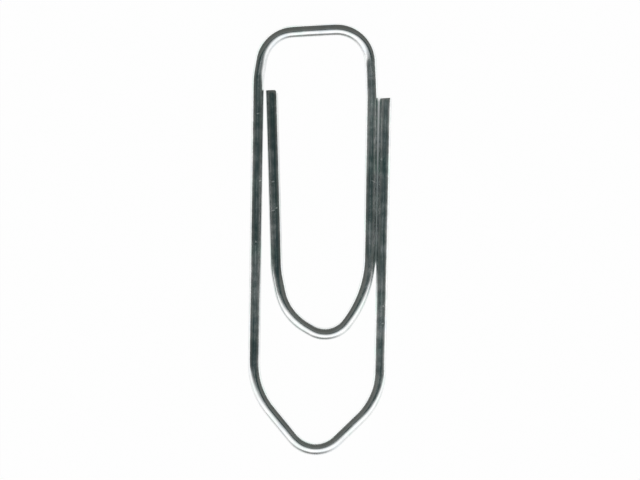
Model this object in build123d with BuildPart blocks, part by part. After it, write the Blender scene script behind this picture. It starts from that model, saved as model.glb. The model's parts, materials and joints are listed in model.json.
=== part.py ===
# Pointed paper clip, bent from one round steel wire.
# +Y runs from the nose to the flat top, +X to the right, +Z up from the sheet it lies on.
# The origin is the middle of the clip's outline, on that sheet.

import os
from math import pi

from build123d import *

# Wire, in millimetres
wire_diameter = 0.9

# Straight runs of the wire, along its centre line
top_bar_right_length = 1.5
top_right_lead_length = 2.38
inner_leg_length = 11.63
tongue_left_flank_length = 0.45
tongue_heel_length = 0.91
top_left_lead_length = 0.88
long_leg_length = 20.71
left_flank_length = 2.65

# Bend radii of the centre line
top_right_radius = 2.5
top_right_lead_radius = 7.85
tongue_right_radius = 8.25
tongue_tip_radius = 2.0
tongue_left_radius = 3.95
tongue_heel_radius = 7.1
top_left_radius = 2.55
top_left_lead_radius = 6.0
left_shoulder_radius = 5.4
nose_radius = 2.15
right_shoulder_radius = 4.85

# Slopes of the crosswise runs, in degrees from level
top_bar_slope = 2.9
tongue_right_slope = 52.2
tongue_left_slope = 30.4
left_flank_slope = 50.6
right_flank_slope = 43.9

# Leans of the upright runs, in degrees from upright
top_right_lead_lean = 2.5
inner_leg_lean = 0.9
tongue_heel_lean = 11.7
inner_free_leg_lean = 1.5
top_left_lead_lean = 9.5
long_leg_lean = 0.8
free_leg_splay = 0.34

# Clear gaps between neighbouring wires
leg_clearance = 0.04
inner_end_clearance = 0.13

# How far the free ends stop below the tops of the legs beside them
inner_end_drop = 0.41
free_end_drop = 2.62

# Sheared ends: how far in and how far down their slanted cuts go
free_end_cut_depth = 0.08
inner_end_bevel_width = 0.2
inner_end_bevel_depth = 0.28

wire_radius = wire_diameter / 2

# Headings of the runs, anticlockwise from +X, in the order the wire leaves the top bar
tongue_bar_heading = top_bar_slope
top_right_lead_heading = -90 + top_right_lead_lean
inner_leg_heading = -90 - inner_leg_lean
tongue_right_heading = -180 + tongue_right_slope
tongue_left_heading = -180 - tongue_left_slope
tongue_heel_heading = -270 + tongue_heel_lean
inner_free_leg_heading = -270 + inner_free_leg_lean

outer_bar_heading = 180 + top_bar_slope
top_left_lead_heading = 270 - top_left_lead_lean
long_leg_heading = 270 - long_leg_lean
left_flank_heading = 360 - left_flank_slope
right_flank_heading = 360 + right_flank_slope
free_leg_heading = 450 - inner_leg_lean - free_leg_splay


def direction(heading):
    """Unit vector along a heading."""
    return Vector(1, 0).rotate(Axis.Z, heading)


def left_of(heading):
    """Unit vector square to a heading, on its left."""
    return direction(heading + 90)


def lengths_to_meeting(point_a, heading_a, point_b, heading_b):
    """Distances along two headings, from their start points to where the lines cross."""
    along_a = direction(heading_a)
    along_b = direction(heading_b)
    between = point_b - point_a
    spread = along_a.cross(along_b).Z
    return between.cross(along_b).Z / spread, between.cross(along_a).Z / spread


def run(before, length):
    """Straight run that carries on from the end of a bend."""
    return PolarLine(before @ 1, length, direction=before % 1)


def bend(before, radius, turn):
    """Arc that carries on from the end of a run, to the left for a positive turn."""
    return JernArc(before @ 1, before % 1, radius, turn)


def lay_tongue(split):
    """The tongue's centre line, right from the split in the top bar and round to its heel."""
    with BuildLine():
        bar = PolarLine(split, top_bar_right_length, angle=tongue_bar_heading)
        top_right = bend(bar, top_right_radius, top_right_lead_heading - tongue_bar_heading)
        lead = run(top_right, top_right_lead_length)
        lead_bend = bend(lead, top_right_lead_radius, inner_leg_heading - top_right_lead_heading)
        inner_leg = run(lead_bend, inner_leg_length)
        right_bend = bend(inner_leg, tongue_right_radius, tongue_right_heading - inner_leg_heading)
        tip_bend = bend(right_bend, tongue_tip_radius, tongue_left_heading - tongue_right_heading)
        left_flank = run(tip_bend, tongue_left_flank_length)
        left_bend = bend(left_flank, tongue_left_radius, tongue_heel_heading - tongue_left_heading)
        heel = run(left_bend, tongue_heel_length)
        heel_bend = bend(heel, tongue_heel_radius, inner_free_leg_heading - tongue_heel_heading)
    return {
        "top_bar_right": bar,
        "top_right_bend": top_right,
        "top_right_lead": lead,
        "top_right_lead_bend": lead_bend,
        "inner_leg": inner_leg,
        "tongue_right_bend": right_bend,
        "tongue_tip_bend": tip_bend,
        "tongue_left_flank": left_flank,
        "tongue_left_bend": left_bend,
        "tongue_heel": heel,
        "tongue_heel_bend": heel_bend,
    }


def lay_top_left(split, bar_length):
    """The outer loop's centre line, left from the split in the top bar to the top of the long leg."""
    with BuildLine():
        bar = PolarLine(split, bar_length, angle=outer_bar_heading)
        top_left = bend(bar, top_left_radius, top_left_lead_heading - outer_bar_heading)
        lead = run(top_left, top_left_lead_length)
        lead_bend = bend(lead, top_left_lead_radius, long_leg_heading - top_left_lead_heading)
    return {
        "top_bar_left": bar,
        "top_left_bend": top_left,
        "top_left_lead": lead,
        "top_left_lead_bend": lead_bend,
    }


def lay_nose(leg_top):
    """The outer loop's centre line, down the long leg and round the nose."""
    with BuildLine():
        long_leg = run(leg_top, long_leg_length)
        shoulder = bend(long_leg, left_shoulder_radius, left_flank_heading - long_leg_heading)
        left_flank = run(shoulder, left_flank_length)
        nose = bend(left_flank, nose_radius, right_flank_heading - left_flank_heading)
    return {
        "long_leg": long_leg,
        "left_shoulder_bend": shoulder,
        "left_flank": left_flank,
        "nose_bend": nose,
    }


def lay_wire(split):
    """Every stretch of the wire's centre line by name, from the split in the top bar."""
    stretches = lay_tongue(split)
    heel_end = stretches["tongue_heel_bend"]
    inner_leg = stretches["inner_leg"]

    # The bar's left part is as long as lets the long leg's top clear the inner free end
    trial_leg_top = lay_top_left(split, top_bar_right_length)["top_left_lead_bend"] @ 1
    beside_trial = (
        trial_leg_top
        + direction(long_leg_heading) * inner_end_drop
        + left_of(long_leg_heading) * (wire_diameter + inner_end_clearance)
    )
    inner_free_leg_length, bar_shift = lengths_to_meeting(
        heel_end @ 1, inner_free_leg_heading, beside_trial, outer_bar_heading
    )
    with BuildLine():
        stretches["inner_free_leg"] = run(heel_end, inner_free_leg_length)
    stretches |= lay_top_left(split, top_bar_right_length + bar_shift)
    stretches |= lay_nose(stretches["top_left_lead_bend"])

    # The right flank is as long as brings the free leg up beside the inner leg's foot
    nose = stretches["nose_bend"]
    shoulder_turn = free_leg_heading - right_flank_heading
    beside_foot = (inner_leg @ 1) + left_of(inner_leg_heading) * (wire_diameter + leg_clearance)
    free_end_level = (stretches["top_right_lead"] @ 0) + direction(inner_leg_heading) * free_end_drop
    with BuildLine():
        trial_shoulder = bend(nose, right_shoulder_radius, shoulder_turn)
    right_flank_length, _ = lengths_to_meeting(
        trial_shoulder @ 1, right_flank_heading, beside_foot, free_leg_heading
    )
    with BuildLine():
        right_flank = run(nose, right_flank_length)
        shoulder = bend(right_flank, right_shoulder_radius, shoulder_turn)
        free_leg_length = (free_end_level - shoulder @ 1).dot(direction(free_leg_heading))
        free_leg = run(shoulder, free_leg_length)
    stretches["right_flank"] = right_flank
    stretches["right_shoulder_bend"] = shoulder
    stretches["outer_free_leg"] = free_leg
    return stretches


def slanted_cut(leg, side, width, depth):
    """Plane across a leg's end, from width in on the end face to depth down one side."""
    along = leg % 1
    across = along.rotate(Axis.Z, -90) * side
    edge = (leg @ 1) + across * (wire_radius - width)
    return Plane(origin=edge, z_dir=across * depth + along * width)


# The wire is laid once to find the middle of its outline, then laid again about the origin
with BuildLine() as first_lay:
    add(list(lay_wire(Vector(0, 0)).values()))
middle = first_lay.line.bounding_box().center()
bar_split = Vector(-middle.X, -middle.Y, wire_radius)
centre_lines = lay_wire(bar_split)

# The outer free end is sheared a little askew, and the inner one has its right corner bevelled
left_side = -1
right_side = 1
outer_end = centre_lines["outer_free_leg"]
inner_end = centre_lines["inner_free_leg"]
end_cuts = {
    "outer_free_leg": slanted_cut(outer_end, left_side, wire_diameter, free_end_cut_depth),
    "inner_free_leg": slanted_cut(inner_end, right_side, inner_end_bevel_width, inner_end_bevel_depth),
}

# Each run and each bend is one length of the wire, square at both ends where it meets the next
os.makedirs("parts", exist_ok=True)
wire_length = 0
wire_volume = 0
for name, centre_line in centre_lines.items():
    with BuildPart() as stretch:
        with BuildLine():
            add(centre_line)
        with BuildSketch(Plane(origin=centre_line @ 0, z_dir=centre_line % 0)):
            Circle(wire_radius)
        sweep()
        if name in end_cuts:
            split(bisect_by=end_cuts[name], keep=Keep.BOTTOM)
    stretch.part.label = name
    export_step(stretch.part, f"parts/{name}.step")
    wire_length += centre_line.length
    wire_volume += stretch.part.volume
    print(f"{name}: {centre_line.length:.3f} mm long, {stretch.part.volume:.4f} mm3")

full_volume = wire_length * pi * wire_radius**2
print(f"wire {wire_length:.2f} mm, {wire_volume:.3f} mm3, section by length {full_volume:.3f} mm3")
print("top bar splits at", bar_split, "along", direction(tongue_bar_heading))
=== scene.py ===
# %% [markdown]
# # A pointed paper clip
#
# The clip is one round steel wire, drawn through a die, coated with zinc, cut to length and bent flat.
# The CAD model holds its true route and size. This lesson reads that route back, sweeps a finer wire along
# it, gives it a worn zinc finish, and lights it the way a flat, shiny thing is lit on a white sheet.

import json
from collections import namedtuple
from functools import partial
from math import atan2, ceil, cos, pi, radians, sin, tan

import bmesh
import bpy
import numpy
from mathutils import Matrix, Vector, noise
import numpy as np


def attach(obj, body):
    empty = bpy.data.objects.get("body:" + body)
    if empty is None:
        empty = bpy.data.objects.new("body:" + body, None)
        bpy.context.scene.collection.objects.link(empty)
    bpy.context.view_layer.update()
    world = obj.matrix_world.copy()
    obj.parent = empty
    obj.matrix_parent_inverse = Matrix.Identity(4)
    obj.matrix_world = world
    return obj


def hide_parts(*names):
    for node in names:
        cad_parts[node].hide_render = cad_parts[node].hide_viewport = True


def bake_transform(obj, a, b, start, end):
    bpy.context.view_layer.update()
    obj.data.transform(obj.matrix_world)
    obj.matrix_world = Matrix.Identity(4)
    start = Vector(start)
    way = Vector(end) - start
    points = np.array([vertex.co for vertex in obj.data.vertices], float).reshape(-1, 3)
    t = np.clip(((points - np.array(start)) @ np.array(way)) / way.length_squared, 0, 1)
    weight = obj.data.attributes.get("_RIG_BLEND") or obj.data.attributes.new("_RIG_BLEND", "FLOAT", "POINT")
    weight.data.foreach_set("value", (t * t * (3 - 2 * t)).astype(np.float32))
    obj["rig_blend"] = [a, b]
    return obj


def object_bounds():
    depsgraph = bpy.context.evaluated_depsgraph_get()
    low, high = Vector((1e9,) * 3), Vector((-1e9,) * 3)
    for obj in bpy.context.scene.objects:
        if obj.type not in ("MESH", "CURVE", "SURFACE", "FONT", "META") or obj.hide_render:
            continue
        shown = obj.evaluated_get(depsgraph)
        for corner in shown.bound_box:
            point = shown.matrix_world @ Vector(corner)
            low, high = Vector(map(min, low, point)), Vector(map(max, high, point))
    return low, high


MM = 0.001
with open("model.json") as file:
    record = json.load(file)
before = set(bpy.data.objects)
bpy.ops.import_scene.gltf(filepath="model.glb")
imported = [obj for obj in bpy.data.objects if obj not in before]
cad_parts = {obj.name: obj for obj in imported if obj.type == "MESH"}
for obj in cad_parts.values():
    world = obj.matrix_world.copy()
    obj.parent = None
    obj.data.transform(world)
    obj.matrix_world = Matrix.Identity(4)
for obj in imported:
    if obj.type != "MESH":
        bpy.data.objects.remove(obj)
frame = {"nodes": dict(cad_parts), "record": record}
cad_low, cad_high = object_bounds()
clip_size = cad_high - cad_low
wire_radius = clip_size.z / 2
print("CAD box in mm:", [round(side / MM, 3) for side in clip_size])
print("wire radius in mm:", round(wire_radius / MM, 4))

# %% [markdown]
# ## Where the wire was cut into lengths
#
# In the CAD model each straight run and each bend is a length of wire with a flat round face at either end.
# The route could be typed in again as a list of points, but then two files would hold the same sizes.
# It is safer to read it off the model: welding the triangles and dissolving flat edges turns each
# cut into one many-sided face, whose middle lies on the wire's centre line and whose normal points along it.

# %% Read the cut faces of every length
WELD = 0.0001 * MM
FLAT_ANGLE = radians(0.5)
FEWEST_CUT_CORNERS = 20
UPRIGHT_LIMIT = 0.5


def cut_faces(node):
    """Centre and outward normal of each face where a length of wire was cut across."""
    mesh = bmesh.new()
    mesh.from_mesh(frame["nodes"][node].data)
    bmesh.ops.remove_doubles(mesh, verts=mesh.verts, dist=WELD)
    bmesh.ops.dissolve_limit(mesh, angle_limit=FLAT_ANGLE, verts=mesh.verts, edges=mesh.edges)
    found = []
    for face in mesh.faces:
        if len(face.verts) > FEWEST_CUT_CORNERS and abs(face.normal.z) < UPRIGHT_LIMIT:
            found.append((face.calc_center_median(), face.normal.copy()))
    mesh.free()
    return found


bodies = frame["record"]["behaviour"]["bodies"]
route = [*reversed(bodies["outer_loop"]), *bodies["tongue"]]
cuts = {name: cut_faces(name) for name in route}
print("lengths of wire:", len(route), "from", route[0], "to", route[-1])

# %% [markdown]
# ## The seams, in the order the wire runs
#
# Two neighbouring lengths meet where their cut faces lie closest. Each seam gives a point and a heading.
# The two free legs have one seam only, so their far ends are found by how far their corners reach.

# %% Pair the cut faces into seams
seams = []
for before, after in zip(route, route[1:]):
    pairs = [(a, b) for a in cuts[before] for b in cuts[after]]
    nearest = min(pairs, key=lambda pair: (pair[0][0] - pair[1][0]).length)
    seams.append(nearest[0])


def reach(node, start, heading):
    """How far a length of wire extends from a point along a heading."""
    return max((vertex.co - start).dot(heading) for vertex in frame["nodes"][node].data.vertices)


first_seam, first_heading = seams[0]
last_seam, last_heading = seams[-1]
outer_tip = first_seam - first_heading * reach(route[0], first_seam, -first_heading)
inner_tip = last_seam + last_heading * reach(route[-1], last_seam, last_heading)
stops = [(outer_tip, first_heading), *seams, (inner_tip, last_heading)]
print("outer free end at", [round(c / MM, 3) for c in outer_tip])
print("inner free end at", [round(c / MM, 3) for c in inner_tip])

# %% [markdown]
# ## Stations along the wire
#
# A curve object with a round bevel would sweep the wire in one line, but it gives no say over the cut ends
# and stores no measure along the wire for the finish to follow. So the wire is laid out as stations
# instead: a point, a heading, the curvature there, and the length of wire so far.

# %% Lay stations along every run and bend
STATION_SPACING = 0.2 * MM
STRAIGHT_TURN = radians(0.02)

Station = namedtuple("Station", "place way curvature along")


def lay_stations(start, end, length_so_far):
    """Stations from one stop to the next, along a straight run or a round bend, without the last."""
    point, heading = start
    chord = end[0] - point
    turn = atan2(heading.cross(end[1]).z, heading.dot(end[1]))
    length = chord.length
    curvature = 0.0
    if abs(turn) > STRAIGHT_TURN:
        curvature = 2 * sin(turn / 2) / chord.length
        length = turn / curvature
    left = Vector((-heading.y, heading.x, 0))
    steps = ceil(length / STATION_SPACING)
    laid = []
    for step in range(steps):
        along = length * step / steps
        angle = curvature * along
        way = heading * cos(angle) + left * sin(angle)
        place = point + heading * along
        if curvature:
            place = point + (heading * sin(angle) + left * (1 - cos(angle))) / curvature
        laid.append(Station(place, way, curvature, length_so_far + along))
    return laid, length_so_far + length


lengths = []
wire_length = 0.0
for start, end in zip(stops, stops[1:]):
    laid, wire_length = lay_stations(start, end, wire_length)
    lengths.append(laid)
lengths.append([Station(inner_tip, last_heading, 0.0, wire_length)])
print("wire length in mm:", round(wire_length / MM, 2))
print("stations:", sum(len(laid) for laid in lengths))

# %% [markdown]
# ## A slight bow
#
# Bent wire springs back a few degrees out of flat, mostly in its bends. That is too little to see from above,
# but a mirror turns light by twice its own tilt, so it shows in where the highlights end. Lifting the mesh
# would take it out of the CAD model's box, so the height that the bow would have is only noted
# along the wire, and the finish tilts its reflections by it.

# %% Note how high the bow would lift the wire
# Degrees by which the wire climbs towards the top bar, evenly spaced along each length that isn't flat
BOW = {
    "right_shoulder_bend": (-1.6, -3, -3.4, -2.2, -1.4),
    "right_flank": (-1.4, -0.8),
    "nose_bend": (-0.5, 1.8, 2.8, 2.8, 3, 4),
    "left_flank": (1.2, 0.8),
    "left_shoulder_bend": (1, 1.2, 0.2, 0.6),
    "top_left_lead_bend": (0, 1.4),
    "top_left_lead": (1.6, 2.2),
    "top_left_bend": (2.2, 1, -0.6, 0, 0.4, -1.8, -4),
    "top_bar_left": (-3, 0.8, 1.6),
    "top_bar_right": (1.8, 1.8),
    "top_right_bend": (1.4, 1.4, 2.8, 6.6, 7.4, 4.4, 1.4),
    "top_right_lead": (0.8, 0),
    "tongue_right_bend": (-2.4, -3.4, -1, 0),
    "tongue_tip_bend": (0, -1.8, -3.2, -3.4, -2.2, 0.2),
    "tongue_left_flank": (0.5, 1),
    "tongue_left_bend": (1.4, 2.4, 1, -0.6, -2),
    "tongue_heel": (-2.4, -2.6),
    "tongue_heel_bend": (-1.8, 0),
}
FLAT = (0, 0)
stop_along = []
stop_climb = []
for name, laid, following in zip(route, lengths, lengths[1:]):
    degrees = BOW.get(name, FLAT)
    stop_along.extend(numpy.linspace(laid[0].along, following[0].along, len(degrees)))
    stop_climb.extend(degrees)
stations = [station for laid in lengths for station in laid]
station_along = [station.along for station in stations]
station_climb = numpy.tan(numpy.radians(numpy.interp(station_along, stop_along, stop_climb)))
steps_up = station_climb * [station.way.y for station in stations] * numpy.gradient(station_along)
station_height = numpy.cumsum(steps_up)


def bow_at(station, point):
    """Height that the bow would give a point beside a station."""
    height = numpy.interp(station.along, station_along, station_height)
    climb = numpy.interp(station.along, station_along, station_climb)
    return height + climb * (point.y - station.place.y)


print("the bow spans mm:", round(numpy.ptp(station_height) / MM, 3))

# %% [markdown]
# ## Rings round the wire
#
# Each station carries a ring of corners. Every corner also remembers three things for the finish.
# One is its place on the wire before bending, because drawing lines were pulled into the straight wire.
# One is how far the bend has stretched it, because a stretched coat goes dull. The last is the bow's height.

# %% Make one ring and skin two together
SIDES = 48
UNBENT = "unbent_place"
STRETCH = "bend_stretch"
BOW_HEIGHT = "bow_height"


def add_ring(mesh, station, radius=wire_radius, shift_of=None):
    """Corners round one station; shift_of says how far each corner slides along the wire."""
    right = Vector((station.way.y, -station.way.x, 0))
    up = Vector((0, 0, 1))
    unbent = mesh.verts.layers.float_vector[UNBENT]
    stretch = mesh.verts.layers.float[STRETCH]
    height = mesh.verts.layers.float[BOW_HEIGHT]
    ring = []
    for side in range(SIDES):
        angle = 2 * pi * side / SIDES
        point = station.place + (right * cos(angle) + up * sin(angle)) * radius
        shift = shift_of(point) if shift_of else 0.0
        corner = mesh.verts.new(point + station.way * shift)
        corner[unbent] = Vector((radius * cos(angle), radius * sin(angle), station.along + shift)) / MM
        corner[stretch] = station.curvature * wire_radius * cos(angle)
        corner[height] = bow_at(station, point)
        ring.append(corner)
    return ring


def join_rings(mesh, ring, following, finish=0):
    """Skin of four-cornered faces between two rings."""
    for side in range(SIDES):
        after = (side + 1) % SIDES
        face = mesh.faces.new((ring[side], ring[after], following[after], following[side]))
        face.smooth = True
        face.material_index = finish


print("corners to a ring:", SIDES)

# %% [markdown]
# ## Sheared ends
#
# The free ends were snipped, not sawn. Each cut plane is read from the CAD face, so the skew of the outer
# end and the bevelled corner of the inner one stay where they are. The blade rolls the edge over a little,
# and the metal inside it tears unevenly, which a flat disc would not show.

# %% Close a sheared end
EDGE_ROLL = 0.03 * MM
ROLL_STEPS = 4
TEAR_RINGS = (0.85, 0.65, 0.45, 0.22)
TEAR_DEPTH = 0.02 * MM
TEAR_SCALE = 5.0
WIRE_FINISH = 0
CUT_FINISH = 1


def shear_cuts(node, seam):
    """The cut faces of a free leg apart from its seam."""
    return [cut for cut in cuts[node] if (cut[0] - seam).length > wire_radius]


def shift_to_cut(point, way, facing, planes, back=0.0, tear=0.0):
    """How far a corner slides along the wire to lie on the first cut plane, or a little inside it."""
    outward = way * facing
    room = min((centre - point).dot(normal) / outward.dot(normal) for centre, normal in planes)
    ragged = tear * (0.5 + 0.5 * noise.noise(point / MM * TEAR_SCALE))
    return facing * (room - back - ragged)


def close_shear(mesh, ring, station, facing, planes):
    """Rolls the edge of a sheared end over and fills it with torn metal."""
    slide = partial(shift_to_cut, way=station.way, facing=facing, planes=planes)
    for step in range(ROLL_STEPS + 1):
        roll = pi / 2 * step / ROLL_STEPS
        radius = wire_radius - EDGE_ROLL * (1 - cos(roll))
        following = add_ring(mesh, station, radius, partial(slide, back=EDGE_ROLL * (1 - sin(roll))))
        join_rings(mesh, ring, following, WIRE_FINISH)
        ring = following
    for share in TEAR_RINGS:
        radius = (wire_radius - EDGE_ROLL) * share
        following = add_ring(mesh, station, radius, partial(slide, tear=TEAR_DEPTH))
        join_rings(mesh, ring, following, CUT_FINISH)
        ring = following
    mesh.faces.new(ring).material_index = CUT_FINISH


outer_cut = shear_cuts(route[0], first_seam)
inner_cut = shear_cuts(route[-1], last_seam)
print("cut planes at the outer end:", len(outer_cut), "and at the inner end:", len(inner_cut))

# %% [markdown]
# ## Three pieces of one wire
#
# The outer loop and the tongue swing apart, and the top bar between them twists. So the wire is made as
# three closed meshes that meet end to end: two that each ride on a body, and a bar that blends from one to
# the other. The bar lies on the hinge line, so its seams stay shut while it turns.

# %% Sweep a piece
SHEAR_ZONE = 0.3 * MM
SHARP_EDGE = radians(40)


def sweep(name, run, start_planes=(), end_planes=()):
    """One closed length of wire along a run of stations, with shear cuts or flat seams at its ends."""
    mesh = bmesh.new()
    mesh.verts.layers.float_vector.new(UNBENT)
    mesh.verts.layers.float.new(STRETCH)
    mesh.verts.layers.float.new(BOW_HEIGHT)
    first = run[0].along + (SHEAR_ZONE if start_planes else 0.0)
    last = run[-1].along - (SHEAR_ZONE if end_planes else 0.0)
    kept = [station for station in run if first <= station.along <= last]
    rings = [add_ring(mesh, station) for station in kept]
    for ring, following in zip(rings, rings[1:]):
        join_rings(mesh, ring, following)
    for place, facing, planes in ((0, -1, start_planes), (-1, 1, end_planes)):
        if planes:
            close_shear(mesh, rings[place], kept[place], facing, planes)
        else:
            mesh.faces.new(rings[place])
    bmesh.ops.recalc_face_normals(mesh, faces=mesh.faces)
    for edge in mesh.edges:
        edge.smooth = edge.calc_face_angle(0) < SHARP_EDGE
    data = bpy.data.meshes.new(name)
    mesh.to_mesh(data)
    mesh.free()
    piece = bpy.data.objects.new(name, data)
    bpy.context.scene.collection.objects.link(piece)
    print(name, "faces:", len(data.polygons), "rings:", len(rings))
    return piece


# %% Make the outer loop, the top bar and the tongue
bar_start = route.index("top_bar_left")
bar_end = route.index("top_bar_right") + 1


def stations_of(first, last):
    """Stations of the lengths from first up to last, with the station where the next length starts."""
    return [station for laid in lengths[first:last] for station in laid] + lengths[last][:1]


outer_loop_wire = sweep("outer_loop_wire", stations_of(0, bar_start), start_planes=outer_cut)
top_bar_wire = sweep("top_bar_wire", stations_of(bar_start, bar_end))
tongue_wire = sweep("tongue_wire", stations_of(bar_end, len(route)), end_planes=inner_cut)

# %% [markdown]
# ## Riding on the bodies
#
# The outer loop and the tongue are the clip's two moving bodies, so their wires simply ride on them. The bar
# could be cut at the hinge, but real wire twists there without a step. A blend shares the turn out along it.

# %% Put the pieces on their bodies
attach(outer_loop_wire, "outer_loop")
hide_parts(*route[:bar_start])
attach(tongue_wire, "tongue")
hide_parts(*route[bar_end:])
bar_left_end = lengths[bar_start][0].place
bar_right_end = lengths[bar_end][0].place
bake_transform(top_bar_wire, "outer_loop", "tongue", start=bar_left_end, end=bar_right_end)
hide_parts(*route[bar_start:bar_end])
print("top bar twists over mm:", round((bar_right_end - bar_left_end).length / MM, 3))

# %% [markdown]
# ## Nodes in few words
#
# The finishes below are built from nodes. One helper adds a node, fills its sockets with numbers, and links
# any socket that is handed another node's output. The others make sums, colour ramps and empty materials.

# %% Helpers for node trees


def add_node(tree, kind, sockets=None, **settings):
    """Adds a node, sets its options, and fills or links its input sockets."""
    made = tree.nodes.new(kind)
    for option, value in settings.items():
        setattr(made, option, value)
    for name, value in (sockets or {}).items():
        if isinstance(value, bpy.types.NodeSocket):
            tree.links.new(value, made.inputs[name])
        else:
            made.inputs[name].default_value = value
    return made


def maths(tree, operation, *values):
    """Output of a sum on numbers or other outputs."""
    return add_node(tree, "ShaderNodeMath", dict(enumerate(values)), operation=operation).outputs[0]


def map_range(tree, value, low, high, new_low=0.0, new_high=1.0):
    """Output that runs from one value to another while the input runs from low to high."""
    sockets = {"Value": value, "From Min": low, "From Max": high, "To Min": new_low, "To Max": new_high}
    return add_node(tree, "ShaderNodeMapRange", sockets).outputs["Result"]


def colour_ramp(tree, factor, colours):
    """Colour output of a ramp through (position, colour) pairs."""
    made = add_node(tree, "ShaderNodeValToRGB", {"Fac": factor})
    elements = made.color_ramp.elements
    elements.remove(elements[-1])
    for number, (position, colour) in enumerate(colours):
        element = elements.new(position) if number else elements[0]
        element.position = position
        element.color = (*colour, 1)
    return made.outputs["Color"]


def new_material(name):
    """An empty node material and its tree."""
    material = bpy.data.materials.new(name)
    material.use_nodes = True
    material.node_tree.nodes.clear()
    return material, material.node_tree


def new_group(name, **inputs):
    """An empty shader node group with the given inputs and one output, a mask."""
    group = bpy.data.node_groups.new(name, "ShaderNodeTree")
    for socket, kind in inputs.items():
        group.interface.new_socket(socket, in_out="INPUT", socket_type=kind)
    group.interface.new_socket("Mask", in_out="OUTPUT", socket_type="NodeSocketFloat")
    return group, group.nodes.new("NodeGroupInput"), group.nodes.new("NodeGroupOutput")


# %% [markdown]
# ## Lines pulled into the metal
#
# Steel wire is drawn through a die, which leaves fine lines along it, and a shear blade leaves lines down a
# cut face. Both are noise that is stretched one way. As both finishes use it, it is a node group,
# and each finish gives its own width and length of line.

# %% Group for pulled lines
LINE_CONTRAST = (0.3, 0.7)

pulled_lines, given, result = new_group(
    "pulled_lines", Place="NodeSocketVector", Width="NodeSocketFloat", Length="NodeSocketFloat"
)
across = maths(pulled_lines, "DIVIDE", 1.0, given.outputs["Width"])
along = maths(pulled_lines, "DIVIDE", 1.0, given.outputs["Length"])
squeeze = add_node(pulled_lines, "ShaderNodeCombineXYZ", {"X": across, "Y": across, "Z": along})
stretched = add_node(
    pulled_lines,
    "ShaderNodeVectorMath",
    {0: given.outputs["Place"], 1: squeeze.outputs["Vector"]},
    operation="MULTIPLY",
)
grain = add_node(
    pulled_lines,
    "ShaderNodeTexNoise",
    {"Vector": stretched.outputs["Vector"], "Scale": 1.0, "Detail": 2.0, "Roughness": 0.6},
)
mask = map_range(pulled_lines, grain.outputs["Fac"], *LINE_CONTRAST)
pulled_lines.links.new(mask, result.inputs["Mask"])
print(pulled_lines.name, "nodes:", len(pulled_lines.nodes))

# %% [markdown]
# ## Clouds in the coat
#
# A thin zinc coat is never even: it greys in soft patches where it has been handled, and bare cut steel
# tarnishes in patches too. Soft noise gives both, at a size that each finish chooses.

# %% Group for tarnish clouds
CLOUD_PATTERN = 2.0
CLOUD_CONTRAST = (0.33, 0.67)

tarnish_clouds, given, result = new_group("tarnish_clouds", Place="NodeSocketVector", Size="NodeSocketFloat")
fineness = maths(tarnish_clouds, "DIVIDE", 1.0, given.outputs["Size"])
cloud = add_node(
    tarnish_clouds,
    "ShaderNodeTexNoise",
    {
        "Vector": given.outputs["Place"], "W": CLOUD_PATTERN,
        "Scale": fineness, "Detail": 3.0, "Roughness": 0.6,
    },
    noise_dimensions="4D",
)
mask = map_range(tarnish_clouds, cloud.outputs["Fac"], *CLOUD_CONTRAST)
tarnish_clouds.links.new(mask, result.inputs["Mask"])
print(tarnish_clouds.name, "nodes:", len(tarnish_clouds.nodes))

# %% [markdown]
# ## Handling marks
#
# Clips rub on each other in the box, so the legs carry a few nicks and one hairline scratch. They could be
# cut into the mesh, but they are far finer than its faces. Each is an ellipsoid in space instead:
# the Mapping node turns and scales it to a unit ball, and the distance from its middle fades it out.

# %% List the marks
# Each mark: x and y on the clip in mm, turn in degrees, half length and half width in mm, strength
MARKS = (
    (-4.55, 9.33, 8.0, 0.22, 0.07, 0.22),
    (-4.40, 4.35, 12.0, 0.16, 0.06, 0.3),
    (-4.74, -0.18, 40.0, 0.10, 0.08, 0.3),
    (-3.20, 9.40, 70.0, 0.14, 0.06, 0.2),
    (-3.47, 4.28, 10.0, 0.18, 0.07, 0.25),
    (-3.20, 2.33, 60.0, 0.10, 0.07, 0.35),
    (-3.47, 2.14, 20.0, 0.17, 0.05, 0.25),
    (4.57, 5.94, 80.0, 0.18, 0.09, 0.14),
    (4.70, -4.95, 0.0, 0.07, 0.06, 0.3),
    (4.66, -6.22, 30.0, 0.10, 0.06, 0.25),
    (4.11, 4.21, -29.0, 0.60, 0.035, 0.26),
)
MARK_DEPTH = 0.5
MARK_FADE = (0.3, 1.0)


def mark_mask(tree):
    """Mask of all the handling marks, on the upper side of the wire."""
    spot = add_node(tree, "ShaderNodeTexCoord").outputs["Object"]
    mask = 0.0
    for x, y, turn, half_length, half_width, strength in MARKS:
        ball = add_node(
            tree,
            "ShaderNodeMapping",
            {
                "Vector": spot,
                "Location": Vector((x, y, clip_size.z / MM)) * MM,
                "Rotation": (0, 0, radians(turn)),
                "Scale": Vector((half_length, half_width, MARK_DEPTH)) * MM,
            },
            vector_type="TEXTURE",
        )
        distance = add_node(
            tree, "ShaderNodeVectorMath", {0: ball.outputs["Vector"]}, operation="LENGTH"
        ).outputs["Value"]
        mask = maths(tree, "MAXIMUM", mask, map_range(tree, distance, *MARK_FADE, strength, 0.0))
    return mask


print("handling marks:", len(MARKS))

# %% [markdown]
# ## Zinc coat
#
# Zinc on drawn wire is a cool, slightly green grey that mirrors the room a little softly. So it is metallic
# and nearly smooth. The coat differs from leg to leg and darkens towards the inner free end, which a ramp
# along the wire gives. Broad streaks, fine lines and clouds break it up: a bright streak is also rougher, so
# it gathers light from further round. Stretched bends and marks are rough too. A bump of about a micron lets
# the fine lines break up reflections, and the bow's height tilts them, without changing the outline.

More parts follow.
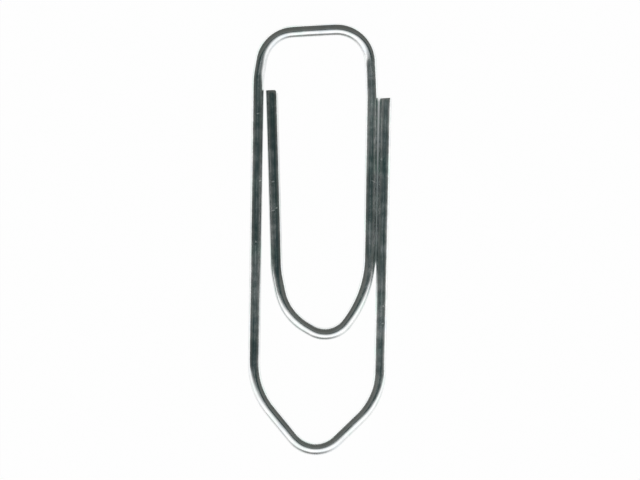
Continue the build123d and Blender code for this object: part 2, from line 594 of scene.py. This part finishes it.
# %% Colour the zinc
# Each stop: share of the wire's length from the outer free end, and the coat's brightness and roughness there
COAT_ALONG_WIRE = (
    (0.0, 1.0, 0.055), (0.18, 1.0, 0.055), (0.31, 0.95, 0.04), (0.36, 0.88, 0.0), (0.5, 0.88, 0.0),
    (0.55, 0.94, 0.01), (0.65, 1.0, 0.05), (0.68, 0.95, 0.03), (0.75, 0.92, 0.035), (0.8, 0.95, 0.04),
    (0.86, 0.92, 0.01), (0.9, 0.8, 0.0), (1.0, 0.75, 0.0),
)
# Widths, lengths and sizes in mm
STREAK_SIZE = (0.3, 7.0)
FINE_LINE_SIZE = (0.12, 2.5)
CLOUD_SIZE = 0.7
TINT_SIZE = 2.0
STREAK_WEAR = 0.5
CLOUD_WEAR = 0.5
WORN = ((0.0, (1.0, 1.0, 1.0)), (1.0, (0.68, 0.71, 0.71)))
TINTS = (
    (0.0, (0.9, 1.0, 0.96)), (0.4, (0.98, 1.0, 0.99)), (0.6, (1.0, 0.99, 0.99)), (1.0, (0.94, 0.97, 1.0)),
)


def multiply(tree, colour, other):
    """Product of two colours."""
    sockets = {0: 1.0, 6: colour, 7: other}
    return add_node(tree, "ShaderNodeMix", sockets, data_type="RGBA", blend_type="MULTIPLY").outputs[2]


def lines_of(tree, place, width, length):
    """Mask of pulled lines of a width and a length in mm."""
    sockets = {"Place": place, "Width": width, "Length": length}
    return add_node(tree, "ShaderNodeGroup", sockets, node_tree=pulled_lines).outputs["Mask"]


def clouds_of(tree, place, size):
    """Mask of tarnish clouds of a size in mm."""
    sockets = {"Place": place, "Size": size}
    return add_node(tree, "ShaderNodeGroup", sockets, node_tree=tarnish_clouds).outputs["Mask"]


zinc, tree = new_material("zinc_coated_wire")
place = add_node(tree, "ShaderNodeAttribute", attribute_name=UNBENT).outputs["Vector"]
streaks = lines_of(tree, place, *STREAK_SIZE)
fine_lines = lines_of(tree, place, *FINE_LINE_SIZE)
clouds = clouds_of(tree, place, CLOUD_SIZE)
along = add_node(tree, "ShaderNodeSeparateXYZ", {"Vector": place}).outputs["Z"]
share = map_range(tree, along, 0.0, wire_length / MM)
colour = colour_ramp(tree, share, [(stop, (level,) * 3) for stop, level, _ in COAT_ALONG_WIRE])
wear = maths(tree, "MULTIPLY_ADD", streaks, STREAK_WEAR, maths(tree, "MULTIPLY", clouds, CLOUD_WEAR))
colour = multiply(tree, colour, colour_ramp(tree, wear, WORN))
colour = multiply(tree, colour, colour_ramp(tree, clouds_of(tree, place, TINT_SIZE), TINTS))
print(zinc.name, "stops along the wire:", len(COAT_ALONG_WIRE))

# %% Roughen and tilt the zinc
# Roughness that each effect adds: from bright to dull for the first two, at full strength for the others
STREAK_ROUGHNESS = (0.14, 0.01)
CLOUD_ROUGHNESS = (0.09, 0.0)
FINE_LINE_ROUGHNESS = 0.05
STRETCH_ROUGHNESS = 0.2
MARK_ROUGHNESS = 0.75
FINE_LINE_DEPTH = 0.001 * MM
FINE_LINE_BUMP = 0.6

stretch = add_node(tree, "ShaderNodeAttribute", attribute_name=STRETCH).outputs["Fac"]
rough = colour_ramp(tree, share, [(stop, (level,) * 3) for stop, _, level in COAT_ALONG_WIRE])
rough = maths(tree, "ADD", rough, map_range(tree, streaks, 0.0, 1.0, *STREAK_ROUGHNESS))
rough = maths(tree, "ADD", rough, map_range(tree, clouds, 0.0, 1.0, *CLOUD_ROUGHNESS))
rough = maths(tree, "MULTIPLY_ADD", fine_lines, FINE_LINE_ROUGHNESS, rough)
rough = maths(tree, "MULTIPLY_ADD", maths(tree, "ABSOLUTE", stretch), STRETCH_ROUGHNESS, rough)
rough = maths(tree, "MULTIPLY_ADD", mark_mask(tree), MARK_ROUGHNESS, rough)
height = add_node(tree, "ShaderNodeAttribute", attribute_name=BOW_HEIGHT).outputs["Fac"]
bow = add_node(tree, "ShaderNodeBump", {"Height": height, "Strength": 1.0, "Distance": 1.0})
bump = add_node(
    tree,
    "ShaderNodeBump",
    {
        "Height": fine_lines, "Strength": FINE_LINE_BUMP,
        "Distance": FINE_LINE_DEPTH, "Normal": bow.outputs["Normal"],
    },
)
coat = add_node(
    tree,
    "ShaderNodeBsdfPrincipled",
    {"Base Color": colour, "Metallic": 1.0, "Roughness": rough, "Normal": bump.outputs["Normal"]},
)
add_node(tree, "ShaderNodeOutputMaterial", {"Surface": coat.outputs["BSDF"]})
print(zinc.name, "nodes:", len(tree.nodes))

# %% [markdown]
# ## Sheared steel
#
# A snipped face shows bare steel. The blade first slides and polishes a band, then the rest tears off dull.
# The lines are turned to run down the face, and the height on the face divides the band from the tear.

# %% Build the sheared steel
# Sizes in mm; the band's edges are heights above the wire's middle
BAND_EDGES = (0.05, 0.18)
SHEAR_LINE_SIZE = (0.05, 0.6)
TARNISH_SIZE = 0.2
TARNISH = ((0.0, (0.56, 0.56, 0.55)), (1.0, (0.38, 0.37, 0.35)))
TORN_ROUGHNESS = 0.55
POLISHED_LESS = -0.3
SHEAR_LINE_ROUGHNESS = 0.15
SHEAR_LINE_DEPTH = 0.004 * MM
SHEAR_LINE_BUMP = 0.8

sheared_steel, tree = new_material("sheared_steel")
place = add_node(tree, "ShaderNodeAttribute", attribute_name=UNBENT).outputs["Vector"]
axes = add_node(tree, "ShaderNodeSeparateXYZ", {"Vector": place}).outputs
down_face = add_node(tree, "ShaderNodeCombineXYZ", {"X": axes["X"], "Y": axes["Z"], "Z": axes["Y"]})
lines = lines_of(tree, down_face.outputs["Vector"], *SHEAR_LINE_SIZE)
polished = map_range(tree, axes["Y"], *BAND_EDGES)
colour = colour_ramp(tree, clouds_of(tree, place, TARNISH_SIZE), TARNISH)
rough = maths(tree, "MULTIPLY_ADD", polished, POLISHED_LESS, TORN_ROUGHNESS)
rough = maths(tree, "MULTIPLY_ADD", lines, SHEAR_LINE_ROUGHNESS, rough)
bump = add_node(
    tree,
    "ShaderNodeBump",
    {"Height": lines, "Strength": SHEAR_LINE_BUMP, "Distance": SHEAR_LINE_DEPTH},
)
face = add_node(
    tree,
    "ShaderNodeBsdfPrincipled",
    {"Base Color": colour, "Metallic": 1.0, "Roughness": rough, "Normal": bump.outputs["Normal"]},
)
add_node(tree, "ShaderNodeOutputMaterial", {"Surface": face.outputs["BSDF"]})
print(sheared_steel.name, "nodes:", len(tree.nodes))

# %% Give every piece both finishes
for piece in (outer_loop_wire, top_bar_wire, tongue_wire):
    piece.data.materials.append(zinc)
    piece.data.materials.append(sheared_steel)
    print(piece.name, "finishes:", [material.name for material in piece.data.materials])

# %% [markdown]
# ## Camera
#
# The clip is seen from straight above, as large in the frame as in the picture. A long lens keeps the upright
# legs from leaning outward. Its height follows from the size of one pixel on the clip.

# %% Aim the camera
IMAGE_WIDTH = 640
IMAGE_HEIGHT = 480
CLIP_LENGTH_IN_IMAGE = 431.67
CLIP_MIDDLE_IN_IMAGE = (319.89, 239.34)
LENS = 1000.0
SENSOR = 36.0
NEAREST_SEEN = 0.01

pixel = clip_size.y / CLIP_LENGTH_IN_IMAGE
aim_x = (IMAGE_WIDTH / 2 - CLIP_MIDDLE_IN_IMAGE[0]) * pixel
aim_y = (CLIP_MIDDLE_IN_IMAGE[1] - IMAGE_HEIGHT / 2) * pixel
camera_height = IMAGE_WIDTH * pixel * LENS / SENSOR
camera_data = bpy.data.cameras.new("camera")
camera_data.lens = LENS
camera_data.sensor_width = SENSOR
camera_data.clip_start = NEAREST_SEEN
camera = bpy.data.objects.new("camera", camera_data)
camera.location = (aim_x, aim_y, wire_radius + camera_height)
bpy.context.scene.collection.objects.link(camera)
bpy.context.scene.camera = camera
print("camera height in mm:", round(camera_height / MM, 1), "pixel in mm:", round(pixel / MM, 5))

# %% [markdown]
# ## White paper
#
# The clip lies on a white sheet that is lit so fully that it looks pure white. The sheet glows for the camera
# and for reflections, at a strength of 1, and is plain matt paper for all other light. A small matt share
# stays in what the camera sees, so that the sheet keeps the clip's faint shadow. Only between the two
# close right legs does hardly any light get down, so there a shadow is painted into the glow: it darkens by
# how shut in from the sky the paper is, inside a strip set by position. Reflections that reach further than
# the paper close by pass on to the room, which is built below.

# %% Lay the paper
PAPER_SIZE = 2.0
PAPER_DROP = 0.005 * MM
paper_mesh = bpy.data.meshes.new("paper")
mesh = bmesh.new()
bmesh.ops.create_grid(mesh, x_segments=1, y_segments=1, size=PAPER_SIZE)
mesh.to_mesh(paper_mesh)
mesh.free()
paper = bpy.data.objects.new("paper", paper_mesh)
paper.location.z = -PAPER_DROP
bpy.context.scene.collection.objects.link(paper)
print("paper corners:", len(paper_mesh.vertices))

# %% Build the paper's finish
# How far the paper looks for the sky, and the shares of open sky between which the painted shadow fades out
# to white
OPEN_DISTANCE = 2.0 * MM
OPEN_RANGE = (0.3, 0.48)
OPEN_SAMPLES = 8
# The painted shadow's strip: its middle in x, the half widths over which it fades, and where in y it ends and
# starts
BETWEEN_LEGS = (4.3 * MM, 0.4 * MM, 0.5 * MM)
FREE_END = (10.2 * MM, 10.6 * MM)
LEGS_MEET_FROM = (-2.0 * MM, -1.6 * MM)
LEGS_SPREAD_FROM = (4.8 * MM, 10.6 * MM)
# How deep the painted shadow between the right legs goes where they lie close and where they spread
PAINTED_SHADOW_WHERE_CLOSE = 0.85
PAINTED_SHADOW_WHERE_SPREAD = 0.64
WHITE = (1.0, 1.0, 1.0)
# Dark colour of the painted shadow between the right legs
PAINTED_SHADOW_COLOUR = (0.0, 0.03, 0.028)
GLOW_SHARE = 0.98
MATT_WHITE = (0.9, 0.9, 0.9)
NEAR_REFLECTION = 1.0 * MM

white_paper, tree = new_material("white_paper")
sky = add_node(
    tree, "ShaderNodeAmbientOcclusion", {"Distance": OPEN_DISTANCE}, samples=OPEN_SAMPLES
).outputs["AO"]
spot = add_node(tree, "ShaderNodeTexCoord").outputs["Object"]
axes = add_node(tree, "ShaderNodeSeparateXYZ", {"Vector": spot}).outputs
# Painted shadow: the glow darkens where the paper is shut in from the sky, only inside the strip between the
# right legs
painted_shadow = map_range(tree, sky, *OPEN_RANGE, 1.0, 0.0)
middle, inside, outside = BETWEEN_LEGS
aside = maths(tree, "ABSOLUTE", maths(tree, "SUBTRACT", axes["X"], middle))
painted_shadow = maths(tree, "MULTIPLY", painted_shadow, map_range(tree, aside, inside, outside, 1.0, 0.0))
painted_shadow = maths(tree, "MULTIPLY", painted_shadow, map_range(tree, axes["Y"], *FREE_END, 1.0, 0.0))
painted_shadow = maths(tree, "MULTIPLY", painted_shadow, map_range(tree, axes["Y"], *LEGS_MEET_FROM))
painted_shadow_depth = map_range(tree, axes["Y"], *LEGS_SPREAD_FROM, PAINTED_SHADOW_WHERE_CLOSE, PAINTED_SHADOW_WHERE_SPREAD)
painted_shadow = maths(tree, "MULTIPLY", painted_shadow, painted_shadow_depth)
# The glow's colour: white, with the painted shadow laid in
glow_with_painted_shadow = colour_ramp(tree, painted_shadow, ((0.0, WHITE), (1.0, PAINTED_SHADOW_COLOUR)))
glow = add_node(tree, "ShaderNodeEmission", {"Color": glow_with_painted_shadow, "Strength": 1.0})
matt = add_node(tree, "ShaderNodeBsdfDiffuse", {"Color": (*MATT_WHITE, 1)})
rays = add_node(tree, "ShaderNodeLightPath").outputs
seen = maths(tree, "MAXIMUM", rays["Is Camera Ray"], rays["Is Glossy Ray"])
seen = maths(tree, "MAXIMUM", seen, rays["Is Transmission Ray"])
share = maths(tree, "MULTIPLY", seen, GLOW_SHARE)
sheet = add_node(tree, "ShaderNodeMixShader", {0: share, 1: matt.outputs[0], 2: glow.outputs[0]})
far = maths(tree, "GREATER_THAN", rays["Ray Length"], NEAR_REFLECTION)
far = maths(tree, "MULTIPLY", far, rays["Is Glossy Ray"])
clear = add_node(tree, "ShaderNodeBsdfTransparent")
surface = add_node(tree, "ShaderNodeMixShader", {0: far, 1: sheet.outputs[0], 2: clear.outputs[0]})
add_node(tree, "ShaderNodeOutputMaterial", {"Surface": surface.outputs[0]})
paper.data.materials.append(white_paper)
print(white_paper.name, "nodes:", len(tree.nodes))

# %% [markdown]
# ## Key light
#
# A round bright wire shows a lamp as a thin band of light. The lamp here is a softbox on the nose's side,
# longer than it is high and parallel to the top bar, so bars and bends carry a highlight and upright
# legs stay dark. Its edges are set by angles from straight up, because that is what places the band
# across the wire.

# %% Hang the softbox
# Edges in degrees from straight up
KEY_NEAR = 14.0
KEY_FAR = 56.0
KEY_DISTANCE = 0.6
KEY_LENGTH = 1.0
KEY_RADIANCE = 0.08

key_middle = radians((KEY_NEAR + KEY_FAR) / 2)
key_half = radians((KEY_FAR - KEY_NEAR) / 2)
key_data = bpy.data.lights.new("softbox", "AREA")
key_data.shape = "ELLIPSE"
key_data.size = KEY_LENGTH
key_data.size_y = 2 * KEY_DISTANCE * tan(key_half)
key_data.energy = KEY_RADIANCE * pi * (pi / 4 * key_data.size * key_data.size_y)
softbox = bpy.data.objects.new("softbox", key_data)
softbox.location = (0, -KEY_DISTANCE * sin(key_middle), KEY_DISTANCE * cos(key_middle))
softbox.rotation_euler = (key_middle, 0, 0)
softbox.visible_camera = False
bpy.context.scene.collection.objects.link(softbox)
print("softbox in m:", round(key_data.size, 2), "by", round(key_data.size_y, 3))

# %% [markdown]
# ## The room in the reflections
#
# Metal shows its surroundings, so the rest of the room matters as much as the lamp. The ceiling is dim, and
# darkest in a slit straight above, which is all that the upright legs mirror. On the nose's side the room
# grows lighter from a few degrees behind straight up, slowly in front and later and faster at both ends,
# and is white further down. The other side stays dim down to the sheet's horizon.
# A dim gap under the lit wall draws the thin dark line along the rim of the nose and the bars.

# %% Colour the ceiling
# Each stop: degrees from straight up, plus towards the top bar and minus towards the nose, and a colour
FILL = (0.104, 0.109, 0.102)
NEAR_FILL = (0.14, 0.146, 0.139)
SLIT = (0.024, 0.044, 0.044)
CEILING = ((-8, SLIT), (6, SLIT), (10, NEAR_FILL), (20, NEAR_FILL), (36, FILL))
SLIT_FADES = (15, 100)
HORIZON_DROP = 0.05
HALF_TURN = 180

world = bpy.data.worlds.new("room")
world.use_nodes = True
bpy.context.scene.world = world
tree = world.node_tree
tree.nodes.clear()
towards = add_node(tree, "ShaderNodeTexCoord").outputs["Generated"]
axes = add_node(tree, "ShaderNodeSeparateXYZ", {"Vector": towards}).outputs
height = maths(tree, "ADD", axes["Z"], HORIZON_DROP)
tilt = map_range(tree, maths(tree, "ARCTAN2", axes["Y"], height), -pi, pi, -1.0, 1.0)
down = maths(tree, "DIVIDE", maths(tree, "ARCCOSINE", axes["Z"]), pi)


def share_of_turn(*angles):
    """Angles in degrees as shares of a half turn."""
    return [angle / HALF_TURN for angle in angles]


def overlay(below, colour, mask):
    """Colour laid over what is below it, by a mask."""
    sockets = {0: mask, 6: below, 7: (*colour, 1)}
    return add_node(tree, "ShaderNodeMix", sockets, data_type="RGBA").outputs[2]


over_ceiling = map_range(tree, tilt, -1.0, 1.0)
stripes = colour_ramp(tree, over_ceiling, [(turn / HALF_TURN / 2 + 0.5, colour) for turn, colour in CEILING])
room = overlay(stripes, FILL, map_range(tree, down, *share_of_turn(*SLIT_FADES)))
print("ceiling stops:", len(CEILING))

# %% Light the nose's side and the sheet's far side
# Each stop: bearing in degrees to the right of the nose, then how far towards the nose the light starts,
# counted from BEHIND_TOP degrees on the top bar's side of straight up, or over how many degrees it grows
LIT_FROM = (
    (-90, 15), (-75, 10), (-60, 5), (-40, 1), (0, 1), (30, 2), (50, 4), (65, 10), (80, 14), (90, 15),
)
LIT_OVER = (
    (-90, 17), (-75, 26), (-60, 34), (-40, 37), (0, 37), (30, 38), (50, 38), (65, 30), (80, 20), (90, 17),
)
BEHIND_TOP = 7
FAR_SIDE = (100, 108)

ahead = maths(tree, "MULTIPLY", axes["Y"], -1.0)
bearing = map_range(tree, maths(tree, "ARCTAN2", axes["X"], ahead), -pi / 2, pi / 2)


def by_bearing(stops, unit=1.0):
    """Value that changes round the room, from (bearing, value) stops."""
    levels = [(turn / HALF_TURN + 0.5, (value / unit,) * 3) for turn, value in stops]
    return colour_ramp(tree, bearing, levels)


into_light = maths(tree, "ADD", tilt, by_bearing(LIT_FROM, HALF_TURN))
into_light = maths(tree, "SUBTRACT", into_light, BEHIND_TOP / HALF_TURN)
lit = map_range(tree, maths(tree, "DIVIDE", into_light, by_bearing(LIT_OVER, HALF_TURN)), 0.0, -1.0)
far_side = map_range(tree, tilt, *share_of_turn(*FAR_SIDE))
room = overlay(room, WHITE, maths(tree, "MAXIMUM", lit, far_side))
print("bearings of the light's edge:", len(LIT_FROM))

# %% Leave a dim gap under the lit wall
# Each stop: bearing as above, then degrees down from straight up, or how open the gap is
GAP_TOP = ((-90, 97), (-60, 94), (-45, 84), (-20, 71), (0, 66), (20, 72), (45, 87), (60, 96), (90, 97))
GAP_OPEN = (
    (-90, 0.1), (-75, 0.3), (-60, 0.5), (-40, 0.65), (-15, 1.0), (0, 1.0),
    (15, 0.75), (35, 0.36), (60, 0.34), (90, 0.1),
)
GAP = (0.18, 0.18, 0.176)
GAP_EDGE = 6
GAP_BOTTOM = (118, 128)

under_top = maths(tree, "SUBTRACT", down, by_bearing(GAP_TOP, HALF_TURN))
gap = map_range(tree, under_top, *share_of_turn(0, GAP_EDGE))
gap = maths(tree, "MULTIPLY", gap, map_range(tree, down, *share_of_turn(*GAP_BOTTOM), 1.0, 0.0))
gap = maths(tree, "MULTIPLY", gap, by_bearing(GAP_OPEN))
gap = maths(tree, "MULTIPLY", gap, maths(tree, "GREATER_THAN", ahead, 0.0))
room = overlay(room, GAP, gap)
print("room nodes:", len(tree.nodes))

# %% Show the room to reflections, and plain white to the camera
ROOM_STRENGTH = 1.25

mirrored = add_node(tree, "ShaderNodeBackground", {"Color": room, "Strength": ROOM_STRENGTH})
plain = add_node(tree, "ShaderNodeBackground", {"Color": (1, 1, 1, 1), "Strength": 1.0})
direct = add_node(tree, "ShaderNodeLightPath").outputs["Is Camera Ray"]
seen = add_node(tree, "ShaderNodeMixShader", {0: direct, 1: mirrored.outputs[0], 2: plain.outputs[0]})
add_node(tree, "ShaderNodeOutputWorld", {"Surface": seen.outputs[0]})
bpy.context.scene.view_settings.view_transform = "Standard"
print("room strength:", ROOM_STRENGTH)
